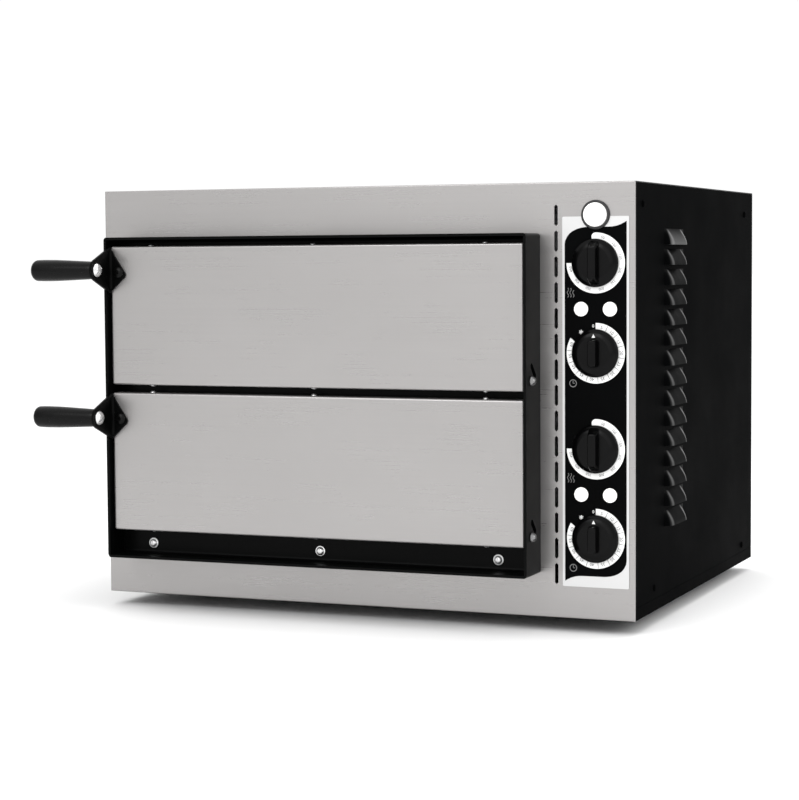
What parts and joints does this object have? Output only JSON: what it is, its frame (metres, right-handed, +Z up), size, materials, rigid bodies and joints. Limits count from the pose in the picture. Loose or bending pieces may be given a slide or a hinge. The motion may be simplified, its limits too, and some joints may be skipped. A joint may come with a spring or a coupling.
{
  "type": "countertop pizza oven",
  "caption": "Countertop pizza oven with stacked baking chambers behind drop-down doors with left-hand side handles, and a strip of dials, lamps and a power button on the right.",
  "frame": {"origin": "bottom centre of the bounding box of the whole oven, handles, surround and gland included, on the plane the feet stand on", "axes": "+X to the oven's right seen from the front, +Y to its back, +Z up"},
  "size_m": [0.62, 0.566, 0.43],
  "materials": {
    "brushed_steel_panel": "satin",
    "black_enamelled_steel": "satin",
    "galvanised_steel": "matte",
    "aluminised_lining": "satin",
    "mineral_wool": "matte",
    "refractory_stone": "matte",
    "element_sheath": "matte",
    "bakelite": "satin",
    "plated_fastener": "satin",
    "black_fastener": "satin",
    "printed_label": "satin",
    "lamp_lens": "gloss",
    "black_plastic": "matte",
    "white_plastic": "gloss",
    "ceramic_block": "matte",
    "rubber_foot": "matte"
  },
  "bodies": {
    "cabinet": {"front_panel": "brushed_steel_panel", "right_side_panel": "black_enamelled_steel", "left_side_panel": "black_enamelled_steel", "top_cover": "black_enamelled_steel", "door_surround": "black_enamelled_steel", "back_panel": "galvanised_steel", "base_pan": "galvanised_steel", "partition_wall": "galvanised_steel", "insulation_core": "mineral_wool", "upper_chamber_liner": "aluminised_lining", "upper_baking_stone": "refractory_stone", "upper_bottom_element": "element_sheath", "upper_top_element": "element_sheath", "lower_chamber_liner": "aluminised_lining", "lower_baking_stone": "refractory_stone", "lower_bottom_element": "element_sheath", "lower_top_element": "element_sheath", "control_label": "printed_label", "upper_thermostat": "galvanised_steel", "upper_timer": "galvanised_steel", "lower_thermostat": "galvanised_steel", "lower_timer": "galvanised_steel", "upper_left_lamp": "lamp_lens", "upper_right_lamp": "lamp_lens", "lower_left_lamp": "lamp_lens", "lower_right_lamp": "lamp_lens", "power_switch_housing": "black_plastic", "terminal_block": "ceramic_block", "cable_gland": "black_plastic", "front_left_foot": "rubber_foot", "front_right_foot": "rubber_foot", "rear_left_foot": "rubber_foot", "rear_right_foot": "rubber_foot"},
    "upper_door": {"upper_door_skin": "brushed_steel_panel", "upper_door_inner_pan": "aluminised_lining", "upper_door_insulation": "mineral_wool", "upper_handle_bracket": "black_enamelled_steel", "upper_handle_grip": "bakelite", "upper_handle_bolt": "plated_fastener", "upper_bracket_screw": "black_fastener", "upper_hinge_screw_right": "plated_fastener", "upper_hinge_screw_left": "plated_fastener"},
    "lower_door": {"lower_door_skin": "brushed_steel_panel", "lower_door_inner_pan": "aluminised_lining", "lower_door_insulation": "mineral_wool", "lower_handle_bracket": "black_enamelled_steel", "lower_handle_grip": "bakelite", "lower_handle_bolt": "plated_fastener", "lower_bracket_screw": "black_fastener", "lower_hinge_screw_right": "plated_fastener", "lower_hinge_screw_left": "plated_fastener"},
    "upper_thermostat_dial": {"upper_thermostat_knob": "bakelite", "upper_thermostat_shaft": "plated_fastener"},
    "upper_timer_dial": {"upper_timer_knob": "bakelite", "upper_timer_shaft": "plated_fastener"},
    "lower_thermostat_dial": {"lower_thermostat_knob": "bakelite", "lower_thermostat_shaft": "plated_fastener"},
    "lower_timer_dial": {"lower_timer_knob": "bakelite", "lower_timer_shaft": "plated_fastener"},
    "power_button": {"power_switch_button": "white_plastic"}
  },
  "joints": [
    {"name": "upper_door_hinge", "type": "hinge", "parent": "cabinet", "child": "upper_door", "pos_m": [-0.0175, -0.234, 0.2425], "axis": [1, 0, 0], "range_deg": [0, 90]},
    {"name": "lower_door_hinge", "type": "hinge", "parent": "cabinet", "child": "lower_door", "pos_m": [-0.0175, -0.234, 0.094], "axis": [1, 0, 0], "range_deg": [0, 90]},
    {"name": "upper_thermostat_turn", "type": "hinge", "parent": "cabinet", "child": "upper_thermostat_dial", "pos_m": [0.2639, -0.2073, 0.3534], "axis": [0, 1, 0], "range_deg": [0, 270]},
    {"name": "upper_timer_turn", "type": "hinge", "parent": "cabinet", "child": "upper_timer_dial", "pos_m": [0.2639, -0.2073, 0.2682], "axis": [0, 1, 0], "range_deg": [0, 300]},
    {"name": "lower_thermostat_turn", "type": "hinge", "parent": "cabinet", "child": "lower_thermostat_dial", "pos_m": [0.2639, -0.2073, 0.1771], "axis": [0, 1, 0], "range_deg": [0, 270]},
    {"name": "lower_timer_turn", "type": "hinge", "parent": "cabinet", "child": "lower_timer_dial", "pos_m": [0.2639, -0.2073, 0.0917], "axis": [0, 1, 0], "range_deg": [0, 300]},
    {"name": "power_button_push", "type": "slide", "parent": "cabinet", "child": "power_button", "axis": [0, 1, 0], "range_m": [0, 0.003], "stiffness_N_per_m": 500}
  ]
}
